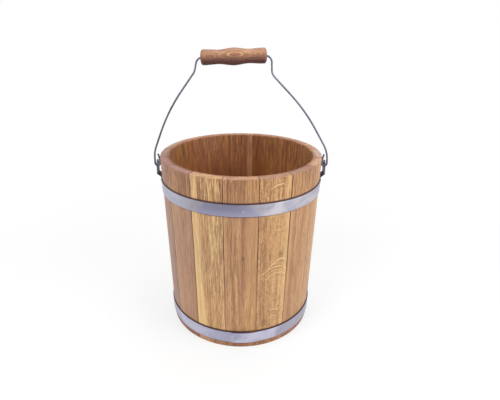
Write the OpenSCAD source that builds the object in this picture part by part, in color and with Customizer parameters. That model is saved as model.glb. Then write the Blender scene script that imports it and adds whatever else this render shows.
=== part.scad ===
// Wooden bucket: sixteen staves round a doweled bottom, held by two galvanised hoops,
// with a wire bail in two riveted ears and a turned grip.
// Millimetres, +Z up. The origin is the centre of the foot, the front is -Y and the ears lie on X.

/* [Tub] */
// Height from the foot to the rim
tub_h = 300; // [240:1:360]
// Outer diameter at the rim
rim_d = 275; // [260:1:320]
// Outer diameter at the foot
foot_d = 250; // [235:1:290]
// Thickness of the staves
wall = 15; // [11:0.5:20]
// Chamfer on the edges of the rim and the foot
edge_ease = 1.8; // [0.6:0.1:2.5]
// Chamfer along the outer edges of each stave joint
arris = 0.5; // [0.3:0.1:1]

/* [Bottom] */
// Height of the underside of the bottom above the foot
bottom_z = 20; // [12:1:40]
// Thickness of the bottom boards
bottom_t = 14; // [11:0.5:18]
// Width of the middle board
middle_board_w = 74; // [60:1:90]
// Thickness of the boards at their bevelled rim
tongue_t = 6; // [4:0.5:8]
// Width of the bevel round the bottom
bevel_w = 16; // [10:1:22]
// Depth of the groove that holds the bottom
groove_depth = 5; // [3:0.5:7]
// Play of the bottom in its groove
groove_gap = 0.15; // [0.1:0.05:0.4]
// Diameter of the dowels between the boards
dowel_d = 8; // [6:0.5:9]
// Length of the dowels
dowel_l = 32; // [24:1:50]
// Distance of the dowels from the middle of the boards
dowel_offset = 48; // [30:1:70]
// Play of the dowels in their holes
dowel_gap = 0.1; // [0.05:0.05:0.3]

/* [Hoops] */
// Width of the hoops
hoop_w = 20; // [14:0.5:26]
// Thickness of the hoop strip
hoop_t = 1.4; // [1:0.1:2]
// Distance from the rim down to the upper edge of the upper hoop
upper_hoop_drop = 39; // [34:1:60]
// Height of the lower edge of the lower hoop
lower_hoop_z = 11; // [6:1:40]
// Play between a hoop and the staves
hoop_gap = 0.1; // [0.05:0.05:0.3]
// Length of the riveted lap at full thickness
lap_len = 34; // [28:1:50]
// Distance between the two rivets of a lap
lap_rivet_pitch = 17; // [12:0.5:22]
// Cut across the corners of the strip's free end
lap_clip = 3; // [1:0.5:6]
// Shank diameter of the lap rivets
lap_rivet_d = 3; // [2:0.1:4]
// Head diameter of the lap rivets
lap_head_d = 6; // [4.5:0.1:8]
// Head height of the lap rivets
lap_head_h = 0.7; // [0.4:0.1:1.5]
// Play of rivets and nails in their holes
rivet_gap = 0.05; // [0.02:0.01:0.15]
// Shank diameter of the hoop nails
nail_d = 2; // [1.4:0.1:3]
// Depth of the hoop nails in the stave
nail_depth = 9; // [6:0.5:10]
// Head diameter of the hoop nails
nail_head_d = 4.5; // [3.5:0.1:6]
// Head height of the hoop nails
nail_head_h = 0.8; // [0.4:0.1:1.5]
// Height of the hoop nails over the lower edge of their hoop
nail_rise = 7.5; // [5:0.5:9]

/* [Ears] */
// Width of the ears
ear_w = 16; // [14:0.5:20]
// Thickness of the ears
ear_t = 2; // [1.5:0.1:2.5]
// Distance of the ear's upper plate from the outer edge of the rim
ear_reach = 7.4; // [6.8:0.1:9]
// Height of the eye's centre over the upper edge of the hoop
eye_rise = 17.3; // [16:0.1:22]
// Diameter of the eye
eye_d = 10; // [8:0.1:11]
// Length of the ear's tail on the hoop
tail_l = 15; // [12:0.5:17]
// Distance from the hoop's upper edge down to the bend of the ear
bend_drop = 3.5; // [2:0.5:4.5]
// Height of the outward step of the ear
step_h = 5.5; // [4:0.5:8]
// Rounding of the tail's lower corners
tail_round = 3; // [1:0.5:4]
// Play between the ear's tail and the hoop
ear_gap = 0.05; // [0.02:0.01:0.2]
// Distance between the two rivets of an ear
ear_rivet_pitch = 8; // [7:0.5:9]
// Shank diameter of the ear rivets
ear_rivet_d = 3; // [2.4:0.1:3.6]
// Head diameter of the ear rivets
ear_head_d = 6; // [5:0.1:6.6]
// Head height of the ear rivets
ear_head_h = 1.6; // [1:0.1:2.5]

/* [Bail] */
// Diameter of the bail wire
wire_d = 3.2; // [2.6:0.1:3.6]
// Play of the wire over the lowest point of the eye
eye_gap = 0.3; // [0.2:0.05:0.5]
// Radius of the hooks in the ears
hook_r = 4.5; // [4.3:0.1:5]
// Height of the bend in the inner end of a hook over the eye wire
hook_bend_rise = 9.5; // [8:0.5:12]
// Height of the tip of a hook over the eye wire
hook_tip_rise = 21; // [18:0.5:25]
// Outward lean of the tip of a hook
hook_tip_lean = 3; // [0:0.5:3.5]
// Height of the knee above a hook over the eye wire
knee_rise = 25; // [20:0.5:30]
// Outward bow of the middle of the arms
arm_bow = 10; // [2:0.5:14]
// Height of the wire that carries the grip over the eye wire
bail_rise = 185; // [170:1:215]
// Length of the wire that carries the grip, from corner to corner
carrier_l = 120.6; // [118:0.2:140]
// Sideways shift of that wire from the middle of the tub
carrier_shift = -11.3; // [-15:0.1:0]
// Place of the grip along that wire, from its middle
grip_rest = -1.2; // [-1.5:0.1:1.5]
// Tilt of the grip, its left end down
grip_tilt = 1.9; // [0:0.1:3]
// Height of the left shoulder, from the corner beside the grip down to the bend above the arm
left_shoulder_drop = 22.5; // [20:0.1:32]
// Height of the right shoulder
right_shoulder_drop = 29.6; // [20:0.1:32]
// Outward flare of the left shoulder
left_shoulder_flare = 4.7; // [0:0.1:6]
// Outward flare of the right shoulder
right_shoulder_flare = 0.8; // [0:0.1:6]
// Bend radius of the wire at the grip
shoulder_r = 11; // [5:0.5:11]
// Bend radius of the wire where the arms start
arm_start_r = 18; // [6:0.5:20]
// Bend radius in the middle of the arms
arm_r = 310; // [150:5:310]
// Bend radius of the knees
knee_r = 58; // [30:1:58]
// Swelling of the wire where it is bent
bend_swell = 0.02; // [0.01:0.01:0.04]
// Length of straight wire that runs on inside a bend
bend_lap = 0.2; // [0.1:0.05:0.25]

/* [Grip] */
// Length of the grip
grip_l = 107; // [90:1:107]
// Diameter of the grip in the middle
belly_d = 28; // [26:0.2:32]
// Diameter of the two waists
waist_d = 22.8; // [18:0.2:25]
// Diameter near the ends
knob_d = 25; // [22:0.2:28]
// Distance of the waists from the middle
waist_at = 25; // [20:0.5:30]
// Length of the domed ends
end_l = 4.2; // [2:0.1:6]
// Diameter of the flat face round the wire
end_d = 8; // [7:0.1:12]
// Play between the grip's bore and the wire
grip_gap = 0.8; // [0.7:0.05:1]

/* [Hidden] */
$fn = 96;
// How far a cutting shape runs past the surface that it opens
past = 1;

stave_count = 16;
stave_angle = 360 / stave_count;
wood_tones = [
    [0.75, 0.58, 0.43], [0.78, 0.62, 0.42], [0.72, 0.55, 0.42], [0.74, 0.58, 0.42],
    [0.70, 0.54, 0.40], [0.76, 0.60, 0.44], [0.68, 0.51, 0.39], [0.73, 0.57, 0.43],
    [0.70, 0.53, 0.38], [0.77, 0.60, 0.42], [0.69, 0.52, 0.41], [0.74, 0.59, 0.43],
    [0.66, 0.52, 0.46], [0.67, 0.51, 0.44], [0.69, 0.53, 0.44], [0.84, 0.69, 0.50]
];
zinc = [0.66, 0.66, 0.72];
wire_grey = [0.42, 0.41, 0.47];
board_tone = [0.62, 0.46, 0.33];
grip_tone = [0.62, 0.42, 0.29];

// Slope of the staves: the wall leans outward with height.
rim_r = rim_d / 2;
foot_r = foot_d / 2;
lean = atan((rim_r - foot_r) / tub_h);
function outer_r(z) = foot_r + (rim_r - foot_r) * z / tub_h;
function inner_r(z) = outer_r(z) - wall;

// The bottom sits in its groove at the middle of its thickness.
bottom_mid_z = bottom_z + bottom_t / 2;
bottom_r = inner_r(bottom_mid_z) + groove_depth - groove_gap;
bevel_slope = (bottom_t - tongue_t) / 2 / bevel_w;
groove_mouth = tongue_t / 2 + groove_depth * bevel_slope + groove_gap;
groove_floor = tongue_t / 2 + groove_gap;
board_joint_x = middle_board_w / 2;

// Outer face of a hoop and seat of the ears on the upper hoop.
function hoop_face_r(z) = outer_r(z) + hoop_gap + hoop_t;
upper_hoop_top = tub_h - upper_hoop_drop;
upper_hoop_z = upper_hoop_top - hoop_w;
upper_lap_azimuth = 180;
lower_lap_azimuth = 0;
nail_azimuths = [1.2, 180 - stave_angle];
nail_z = upper_hoop_z + nail_rise;

// Eyes of the ears and the wire that rests in them.
ear_x = rim_r + ear_reach;
eye_z = upper_hoop_top + eye_rise;
wire_r = wire_d / 2;
hinge_z = eye_z - eye_d / 2 + wire_r + eye_gap;
bend_z = upper_hoop_top - bend_drop;
tail_z = bend_z - tail_l;
ear_rivet_z = (bend_z + tail_z) / 2;

// Wire that carries the grip, tilted about its middle.
carrier_z = hinge_z + bail_rise;
function on_carrier(s) = [carrier_shift + s * cos(grip_tilt), carrier_z + s * sin(grip_tilt)];

// Places children with +Z along the outward normal of the stave face, at an azimuth from the
// front, a height and a distance off that face.
module on_side(azimuth, z, off = 0) {
    rotate([0, 0, azimuth - 90])
        translate([outer_r(z), 0, z])
            rotate([0, 90 + lean, 0])
                translate([0, 0, off])
                    children();
}

// Low round head with its flat side down.
module dome(d, h) {
    ball_r = (d * d / 4 + h * h) / (2 * h);
    intersection() {
        translate([0, 0, h - ball_r])
            sphere(r = ball_r);
        cylinder(d = d, h = h);
    }
}

// Rivet that starts at the inner face of the stack and has its head outside.
module rivet(stack, d, head_d, head_h) {
    cylinder(d = d, h = stack);
    translate([0, 0, stack])
        dome(head_d, head_h);
}

// Section of a stave: the leaning wall with eased edges and the groove for the bottom.
module stave_section() {
    groove_r = inner_r(bottom_mid_z) + groove_depth;
    difference() {
        polygon([
            [inner_r(0) + edge_ease, 0],
            [outer_r(0) - edge_ease, 0],
            [outer_r(edge_ease), edge_ease],
            [outer_r(tub_h - edge_ease), tub_h - edge_ease],
            [outer_r(tub_h) - edge_ease, tub_h],
            [inner_r(tub_h) + edge_ease, tub_h],
            [inner_r(tub_h - edge_ease), tub_h - edge_ease],
            [inner_r(edge_ease), edge_ease]
        ]);
        polygon([
            [inner_r(bottom_mid_z) - groove_depth, bottom_mid_z - groove_mouth - groove_depth * bevel_slope],
            [groove_r, bottom_mid_z - groove_floor],
            [groove_r, bottom_mid_z + groove_floor],
            [inner_r(bottom_mid_z) - groove_depth, bottom_mid_z + groove_mouth + groove_depth * bevel_slope]
        ]);
    }
}

// Small chamfer along the outer edge of a stave joint.
module arris_cut(azimuth) {
    rotate([0, 0, azimuth - 90])
        translate([foot_r, 0, 0])
            rotate([0, lean, 0])
                translate([0, 0, -past])
                    rotate([0, 0, 45])
                        linear_extrude(height = tub_h / cos(lean) + 2 * past)
                            square(arris * sqrt(2), center = true);
}

// One stave, counted from the front towards +X.
module stave(number) {
    middle = (number - 1) * stave_angle;
    color(wood_tones[number - 1])
        difference() {
            rotate([0, 0, middle - 90 - stave_angle / 2])
                rotate_extrude(angle = stave_angle)
                    stave_section();
            arris_cut(middle - stave_angle / 2);
            arris_cut(middle + stave_angle / 2);
            for (azimuth = nail_azimuths)
                if (abs(azimuth - middle) < stave_angle / 2)
                    on_side(azimuth, nail_z, -nail_depth - rivet_gap)
                        cylinder(d = nail_d + 2 * rivet_gap, h = nail_depth + past);
        }
}

// Round bottom with its bevelled rim, before it is parted into boards.
module bottom_disc() {
    rotate_extrude()
        polygon([
            [0, bottom_z],
            [bottom_r - bevel_w, bottom_z],
            [bottom_r, bottom_mid_z - tongue_t / 2],
            [bottom_r, bottom_mid_z + tongue_t / 2],
            [bottom_r - bevel_w, bottom_z + bottom_t],
            [0, bottom_z + bottom_t]
        ]);
}

// Dowels across both board joints, with the given play round them.
module dowel_set(play = 0) {
    for (x = [-board_joint_x, board_joint_x])
        for (y = [-dowel_offset, dowel_offset])
            translate([x, y, bottom_mid_z])
                rotate([0, 90, 0])
                    cylinder(d = dowel_d + 2 * play, h = dowel_l + 2 * play, center = true);
}

// Board of the bottom between two places along X.
module bottom_board(x_from, x_to) {
    color(board_tone)
        difference() {
            intersection() {
                bottom_disc();
                translate([x_from, -foot_r, bottom_z - past])
                    cube([x_to - x_from, foot_d, bottom_t + 2 * past]);
            }
            dowel_set(dowel_gap);
        }
}

module bottom_board_left() {
    bottom_board(-foot_r, -board_joint_x);
}

module bottom_board_middle() {
    bottom_board(-board_joint_x, board_joint_x);
}

module bottom_board_right() {
    bottom_board(board_joint_x, foot_r);
}

module bottom_dowels() {
    color(board_tone)
        dowel_set();
}

// Conical strip on the staves, a given number of layers out.
module strip_section(z, layer) {
    off = hoop_gap + layer * hoop_t;
    polygon([
        [outer_r(z) + off, z],
        [outer_r(z) + off + hoop_t, z],
        [outer_r(z + hoop_w) + off + hoop_t, z + hoop_w],
        [outer_r(z + hoop_w) + off, z + hoop_w]
    ]);
}

// Angle over a length of the hoop's circumference.
function hoop_angle(z, length) = length / hoop_face_r(z) * 180 / PI;

// Outer end of the strip on top of the inner one. One end is cut off square with clipped corners,
// and the other runs down to the first layer along a flat ramp.
module lap(z, azimuth) {
    half = hoop_angle(z, lap_len) / 2;
    ramp = acos(hoop_face_r(z) / (hoop_face_r(z) + hoop_t));
    mid_z = z + hoop_w / 2;
    difference() {
        rotate([0, 0, azimuth - 90 - half])
            rotate_extrude(angle = 2 * half + ramp)
                strip_section(z, 1);
        on_side(azimuth + half + ramp, mid_z, hoop_gap + hoop_t)
            translate([-hoop_w, -lap_len, 0])
                cube([2 * hoop_w, 2 * lap_len, 3 * hoop_t]);
        for (corner_z = [z, z + hoop_w])
            on_side(azimuth - half, corner_z, hoop_gap + hoop_t)
                rotate([0, 0, 45])
                    translate([-lap_clip / sqrt(2), -lap_clip / sqrt(2), -hoop_t / 4])
                        cube([lap_clip * sqrt(2), lap_clip * sqrt(2), 3 * hoop_t]);
    }
}

// Places children at the two rivets of a lap.
module at_lap_rivets(z, azimuth) {
    for (side = [-1, 1])
        on_side(azimuth + side * hoop_angle(z, lap_rivet_pitch) / 2, z + hoop_w / 2, hoop_gap)
            children();
}

module hoop(z, lap_azimuth) {
    difference() {
        union() {
            rotate_extrude()
                strip_section(z, 0);
            lap(z, lap_azimuth);
        }
        at_lap_rivets(z, lap_azimuth)
            translate([0, 0, -past])
                cylinder(d = lap_rivet_d + 2 * rivet_gap, h = 2 * hoop_t + 2 * past);
    }
}

module lap_rivets(z, azimuth) {
    color(zinc)
        at_lap_rivets(z, azimuth)
            rivet(2 * hoop_t, lap_rivet_d, lap_head_d, lap_head_h);
}

// Places children at the four ear rivets, at the inner face of the upper hoop.
module at_ear_rivets(ear_azimuths = [-90, 90]) {
    half = asin(ear_rivet_pitch / 2 / hoop_face_r(ear_rivet_z));
    for (azimuth = ear_azimuths)
        for (side = [-1, 1])
            on_side(azimuth + side * half, ear_rivet_z, hoop_gap)
                children();
}

module upper_hoop() {
    color(zinc)
        difference() {
            hoop(upper_hoop_z, upper_lap_azimuth);
            at_ear_rivets()
                translate([0, 0, -past])
                    cylinder(d = ear_rivet_d + 2 * rivet_gap, h = hoop_t + 2 * past);
            for (azimuth = nail_azimuths)
                on_side(azimuth, nail_z, hoop_gap - past)
                    cylinder(d = nail_d + 2 * rivet_gap, h = hoop_t + 2 * past);
        }
}

module upper_hoop_rivets() {
    lap_rivets(upper_hoop_z, upper_lap_azimuth);
}

module lower_hoop() {
    color(zinc)
        hoop(lower_hoop_z, lower_lap_azimuth);
}

module lower_hoop_rivets() {
    lap_rivets(lower_hoop_z, lower_lap_azimuth);
}

module hoop_nails() {
    color(zinc)
        for (azimuth = nail_azimuths)
            on_side(azimuth, nail_z, -nail_depth)
                rivet(nail_depth + hoop_gap + hoop_t, nail_d, nail_head_d, nail_head_h);
}

// Straight bar of strap between two points of its side view.
module bar(from, to, t) {
    run = to - from;
    translate(from)
        rotate(atan2(run[1], run[0]))
            translate([0, -t / 2])
                square([norm(run), t]);
}

// Side view of an ear: the tail on the hoop, the outward step and the upright plate.
module ear_side_view() {
    tail_r = hoop_gap + hoop_t + ear_gap + ear_t / 2;
    spine = [
        [outer_r(tail_z) + tail_r, tail_z],
        [outer_r(bend_z) + tail_r, bend_z],
        [ear_x, bend_z + step_h],
        [ear_x, eye_z + ear_w]
    ];
    for (i = [0:2])
        bar(spine[i], spine[i + 1], ear_t);
    for (i = [1:2])
        translate(spine[i])
            circle(d = ear_t);
}

// Front view of an ear: rounded tail, straight sides and a round top with the eye.
module ear_front_view() {
    difference() {
        union() {
            translate([-ear_w / 2, tail_z + tail_round])
                square([ear_w, eye_z - tail_z - tail_round]);
            translate([-ear_w / 2 + tail_round, tail_z])
                square([ear_w - 2 * tail_round, tail_round]);
            for (side = [-1, 1])
                translate([side * (ear_w / 2 - tail_round), tail_z + tail_round])
                    circle(r = tail_round);
            translate([0, eye_z])
                circle(d = ear_w);
        }
        translate([0, eye_z])
            circle(d = eye_d);
    }
}

// Ear on the +X side. Its faces follow the round of the hoop.
module ear() {
    spread = asin(ear_w / hoop_face_r(tail_z));
    difference() {
        intersection() {
            rotate([0, 0, -spread])
                rotate_extrude(angle = 2 * spread)
                    ear_side_view();
            rotate([90, 0, 90])
                linear_extrude(height = 2 * ear_x)
                    ear_front_view();
        }
        at_ear_rivets([90])
            cylinder(d = ear_rivet_d + 2 * rivet_gap, h = hoop_t + ear_gap + ear_t + past);
    }
}

module right_ear() {
    color(zinc)
        ear();
}

module left_ear() {
    color(zinc)
        mirror([1, 0, 0])
            ear();
}

module ear_rivets() {
    color(zinc)
        at_ear_rivets()
            rivet(hoop_t + ear_gap + ear_t, ear_rivet_d, ear_head_d, ear_head_h);
}

// Bent wire: straight runs and round bends through a list of corners in the X and Z directions.
function unit(v) = v / norm(v);
function run_in(p, i) = unit(p[i] - p[i - 1]);
function run_out(p, i) = unit(p[i + 1] - p[i]);
function turn(p, i) = acos(run_in(p, i) * run_out(p, i));
function is_bend(p, i) = i > 0 && i < len(p) - 1;
// A bend takes less than half of the shorter run beside it.
function bend_cut(p, r, i) = !is_bend(p, i) ? 0 :
    min(r[i] * tan(turn(p, i) / 2), 0.48 * norm(p[i] - p[i - 1]), 0.48 * norm(p[i + 1] - p[i]));

// Straight runs reach a little way into the slightly thicker bends, so that no two faces coincide.
function run_start(p, r, i) = is_bend(p, i) ? bend_cut(p, r, i) - bend_lap : 0;

module wire_run(p, r, i, d) {
    from = p[i] + run_out(p, i) * run_start(p, r, i);
    to = p[i + 1] - run_out(p, i) * run_start(p, r, i + 1);
    run = to - from;
    translate([from[0], 0, from[1]])
        rotate([0, atan2(run[0], run[1]), 0])
            cylinder(d = d, h = norm(run), $fn = 32);
}

module wire_bend(p, r, i, d) {
    back = -run_in(p, i);
    ahead = run_out(p, i);
    cut = bend_cut(p, r, i);
    bend_r = cut / tan(turn(p, i) / 2);
    centre = p[i] + unit(back + ahead) * bend_r / cos(turn(p, i) / 2);
    to_left = back[0] * ahead[1] - back[1] * ahead[0] < 0;
    start = p[i] + (to_left ? back : ahead) * cut - centre;
    translate([centre[0], 0, centre[1]])
        rotate([90, 0, 0])
            rotate([0, 0, atan2(start[1], start[0])])
                rotate_extrude(angle = turn(p, i))
                    translate([bend_r, 0])
                        circle(d = d + bend_swell, $fn = 32);
}

module bent_wire(p, r, d) {
    for (i = [0:len(p) - 2])
        wire_run(p, r, i, d);
    for (i = [1:len(p) - 2])
        wire_bend(p, r, i, d);
}

// Corners of one half of the bail, from the tip of its hook to the grip. side is -1 or 1.
function arm_top(side, drop, flare) = on_carrier(side * carrier_l / 2) + [side * flare, -drop];
function knee(side) = [side * (ear_x + hook_r), hinge_z + knee_rise];
function arm_middle(side, top) =
    (top + knee(side)) / 2 + arm_bow * side * unit([top[1] - knee(side)[1], knee(side)[0] - top[0]]);
function half_bail(side, drop, flare) = [
    [side * (ear_x - hook_r + hook_tip_lean), hinge_z + hook_tip_rise],
    [side * (ear_x - hook_r), hinge_z + hook_bend_rise],
    [side * (ear_x - hook_r), hinge_z],
    [side * (ear_x + hook_r), hinge_z],
    knee(side),
    arm_middle(side, arm_top(side, drop, flare)),
    arm_top(side, drop, flare),
    on_carrier(side * carrier_l / 2)
];
half_bends = [0, hook_r, hook_r, hook_r, knee_r, arm_r, arm_start_r, shoulder_r];
function reversed(list) = [for (i = [len(list) - 1:-1:0]) list[i]];

module bail() {
    corners = concat(
        half_bail(-1, left_shoulder_drop, left_shoulder_flare),
        reversed(half_bail(1, right_shoulder_drop, right_shoulder_flare))
    );
    color(wire_grey)
        bent_wire(corners, concat(half_bends, reversed(half_bends)), wire_d);
}

// Outline of the turned grip: a belly, two waists and two knobs with domed ends.
knob_at = grip_l / 2 - 2 * end_l;
function wave(from, to, share) = (from + to) / 2 + (from - to) / 2 * cos(180 * share);
function grip_radius(s) =
    s < waist_at ? wave(belly_d, waist_d, s / waist_at) / 2 :
    s < knob_at ? wave(waist_d, knob_d, (s - waist_at) / (knob_at - waist_at)) / 2 :
    knob_d / 2;

function dome_point(angle) = [(knob_d - end_d) / 2 * cos(angle), end_l * sin(angle)];

module grip() {
    steps = 18;
    end_steps = 6;
    body_l = grip_l / 2 - end_l;
    half_outline = concat(
        [for (i = [0:steps]) let (s = i * body_l / steps) [grip_radius(s), s]],
        [for (i = [1:end_steps]) dome_point(90 * i / end_steps) + [end_d / 2, body_l]]
    );
    outline = concat(
        [[0, -grip_l / 2]],
        [for (q = reversed(half_outline)) [q[0], -q[1]]],
        [for (i = [1:len(half_outline) - 1]) half_outline[i]],
        [[0, grip_l / 2]]
    );
    color(grip_tone)
        translate([on_carrier(grip_rest)[0], 0, on_carrier(grip_rest)[1]])
            rotate([0, 90 - grip_tilt, 0])
                difference() {
                    rotate_extrude()
                        polygon(outline);
                    cylinder(d = wire_d + 2 * grip_gap, h = 2 * grip_l, center = true);
                }
}

stave(1);  // stave_01
stave(2);  // stave_02
stave(3);  // stave_03
stave(4);  // stave_04
stave(5);  // stave_05
stave(6);  // stave_06
stave(7);  // stave_07
stave(8);  // stave_08
stave(9);  // stave_09
stave(10);  // stave_10
stave(11);  // stave_11
stave(12);  // stave_12
stave(13);  // stave_13
stave(14);  // stave_14
stave(15);  // stave_15
stave(16);  // stave_16
bottom_board_left();
bottom_board_middle();
bottom_board_right();
bottom_dowels();
upper_hoop();
upper_hoop_rivets();
lower_hoop();
lower_hoop_rivets();
hoop_nails();
left_ear();
right_ear();
ear_rivets();
bail();
grip();
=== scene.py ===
import math
import bmesh
import bpy
from mathutils import Matrix, Vector


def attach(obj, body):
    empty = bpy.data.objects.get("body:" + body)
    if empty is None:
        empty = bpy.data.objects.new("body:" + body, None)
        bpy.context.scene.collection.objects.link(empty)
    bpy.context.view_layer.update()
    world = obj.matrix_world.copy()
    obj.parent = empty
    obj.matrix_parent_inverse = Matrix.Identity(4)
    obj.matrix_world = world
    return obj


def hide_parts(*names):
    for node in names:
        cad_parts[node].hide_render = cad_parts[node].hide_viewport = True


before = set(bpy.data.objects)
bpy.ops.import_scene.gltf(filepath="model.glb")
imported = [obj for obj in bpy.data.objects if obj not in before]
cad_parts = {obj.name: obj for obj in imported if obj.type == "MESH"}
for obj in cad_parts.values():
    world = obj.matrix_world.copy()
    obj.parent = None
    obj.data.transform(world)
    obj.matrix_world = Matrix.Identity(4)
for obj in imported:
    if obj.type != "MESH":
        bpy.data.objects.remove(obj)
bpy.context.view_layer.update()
print("frame loaded:", len(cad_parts), "nodes")

mm = 0.001  # what carries this factor is written in millimetres

# Sizes of the tub that several pieces share
tub = {
    "height": 300 * mm,
    "rimRadius": 137.5 * mm,
    "footRadius": 125 * mm,
    "wall": 15 * mm,
    "staveCount": 16,
    "hoopWidth": 20 * mm,
    "hoopThickness": 1.4 * mm,
    "hoopGap": 0.1 * mm,
    "upperHoopAt": 241 * mm,
    "lowerHoopAt": 11 * mm,
}
tub["slope"] = (tub["rimRadius"] - tub["footRadius"]) / tub["height"]
tub["lean"] = math.atan(tub["slope"])
tub["turn"] = 2 * math.pi / tub["staveCount"]
sharpAngles = {"board": 35, "turned": 40, "strip": 50}  # degrees, past which an edge stays sharp


def outerRadius(height):
    return tub["footRadius"] + tub["slope"] * height


def tone(*channels):
    # A colour written as 0 to 255, made linear
    return (*[(c / 255 / 12.92) if c < 10.3 else ((c / 255 + 0.055) / 1.055) ** 2.4 for c in channels], 1)


# Small helpers for node trees, used by the materials and by the geometry trees alike. Most of them find their
# tree by the sockets that come in.
def plug(value, socket):
    if isinstance(value, bpy.types.NodeSocket):
        socket.id_data.links.new(value, socket)
    else:
        socket.default_value = value


def treeOf(*values):
    return next(value.id_data for value in values if isinstance(value, bpy.types.NodeSocket))


def addNode(tree, kind, inputs=None, **settings):
    node = tree.nodes.new(kind)
    for name, value in settings.items():
        setattr(node, name, value)
    for slot, value in (inputs or {}).items():
        plug(value, node.inputs[slot])
    return node


def made(tree, kind, inputs=None, **settings):
    return addNode(tree, kind, inputs, **settings).outputs[0]


def calc(operation, *values):
    return made(treeOf(*values), "ShaderNodeMath", dict(enumerate(values)), operation=operation)


def plus(total, *others):
    for other in others:
        total = calc("ADD", total, other)
    return total


def times(product, *others):
    for other in others:
        product = calc("MULTIPLY", product, other)
    return product


def minus(first, second):
    return calc("SUBTRACT", first, second)


def over(first, second):
    return calc("DIVIDE", first, second)


def away(x, y):
    return calc("SQRT", plus(times(x, x), times(y, y)))


def fade(value, start, end, low=0.0, high=1.0):
    inputs = {"Value": value, "From Min": start, "From Max": end, "To Min": low, "To Max": high}
    return made(treeOf(*inputs.values()), "ShaderNodeMapRange", inputs, interpolation_type="SMOOTHSTEP")


def vectorCalc(operation, *values):
    node = addNode(treeOf(*values), "ShaderNodeVectorMath", dict(enumerate(values)), operation=operation)
    return node.outputs["Value" if operation in ("LENGTH", "DOT_PRODUCT") else "Vector"]


def split(vector):
    return addNode(vector.id_data, "ShaderNodeSeparateXYZ", {0: vector}).outputs


def join(*values):
    return made(treeOf(*values), "ShaderNodeCombineXYZ", dict(enumerate(values)))


def stretch(vector, scale, shift=(0, 0, 0)):
    return made(vector.id_data, "ShaderNodeMapping", {"Vector": vector, "Location": shift, "Scale": scale})


def noise(vector, scale=1.0, detail=2.0, roughness=0.5, distortion=0.0):
    names = ("Vector", "Scale", "Detail", "Roughness", "Distortion")
    inputs = dict(zip(names, (vector, scale, detail, roughness, distortion)))
    return made(vector.id_data, "ShaderNodeTexNoise", inputs)


def sway(vector, detail=2.0):
    return minus(noise(vector, 1.0, detail), 0.5)


def mixColour(share, first, second, mode="MIX"):
    tree, inputs = treeOf(share, first, second), {0: share, 6: first, 7: second}
    return addNode(tree, "ShaderNodeMix", inputs, data_type="RGBA", blend_type=mode).outputs[2]


def paint(colour, share, shade, mode="MIX"):
    return mixColour(share, colour, tone(*shade), mode)


def tint(colour, share, factors):
    return mixColour(share, colour, mixColour(1.0, colour, (*factors, 1), "MULTIPLY"))


def newMaterial(name):
    material = bpy.data.materials.new(name)
    material.use_nodes = True
    shader = material.node_tree.nodes["Principled BSDF"]
    shader.inputs["Specular IOR Level"].default_value = 0.45
    place = addNode(material.node_tree, "ShaderNodeTexCoord").outputs["Object"]
    return material, shader, place


def finish(shader, colour, rough, relief=None, reliefHeight=0.0):
    plug(colour, shader.inputs["Base Color"])
    plug(rough, shader.inputs["Roughness"])
    if relief:
        inputs = {"Height": relief, "Distance": reliefHeight, "Strength": 1.0}
        plug(made(relief.id_data, "ShaderNodeBump", inputs), shader.inputs["Normal"])


def dress(node, material):
    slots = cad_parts[node].data.materials
    slots.clear()
    slots.append(material)


# Geometry trees. Each one starts from a drawn line or section, ends realized and painted, and is frozen to
# a mesh. Its sockets hold floats where nothing else is said.
socketKinds = {
    "Geometry": "Geometry", "Material": "Material", "Closed Ends": "Bool",
    "Steps": "Int", "Bend Steps": "Int", "Sides": "Int", "Count": "Int",
}


def newTree(name, *labels):
    tree = bpy.data.node_groups.new(name, "GeometryNodeTree")
    tree.is_modifier = True
    for label in ("Geometry", *labels, "Material"):
        kind = "NodeSocket" + socketKinds.get(label, "Float")
        tree.interface.new_socket(label, in_out="INPUT", socket_type=kind)
    tree.interface.new_socket("Geometry", in_out="OUTPUT", socket_type="NodeSocketGeometry")
    return tree, *addNode(tree, "NodeGroupInput").outputs[:-1]


def endTree(tree, geometry, material):
    real = made(tree, "GeometryNodeRealizeInstances", {0: geometry})
    painted = made(tree, "GeometryNodeSetMaterial", {"Geometry": real, "Material": material})
    addNode(tree, "NodeGroupOutput", {0: painted})
    return tree


def alongCurve(tree, path, section, caps):
    inputs = {"Curve": path, "Profile Curve": section, "Fill Caps": caps}
    return made(tree, "GeometryNodeCurveToMesh", inputs)


def sweep(tree, path, section, caps):
    upright = made(tree, "GeometryNodeSetCurveNormal", {"Curve": path}, mode="Z_UP")
    return alongCurve(tree, upright, section, caps)


def onCircle(radius, angle, height=0.0):
    return join(times(radius, calc("COSINE", angle)), times(radius, calc("SINE", angle)), height)


def makeTurnTree():
    # A section drawn beside the Z axis, turned round that axis from one angle to another
    tree, section, radius, start, turn, steps, closed, material = newTree(
        "turnedSection", "Path Radius", "Start", "Sweep", "Steps", "Closed Ends",
    )
    arc = made(tree, "GeometryNodeCurveArc", {
        "Resolution": steps, "Radius": radius, "Start Angle": start, "Sweep Angle": turn,
    }, mode="RADIUS")
    solid = sweep(tree, arc, section, closed)
    merged = made(tree, "GeometryNodeMergeByDistance", {"Geometry": solid, "Distance": 0.001 * mm})
    return endTree(tree, merged, material)


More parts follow.
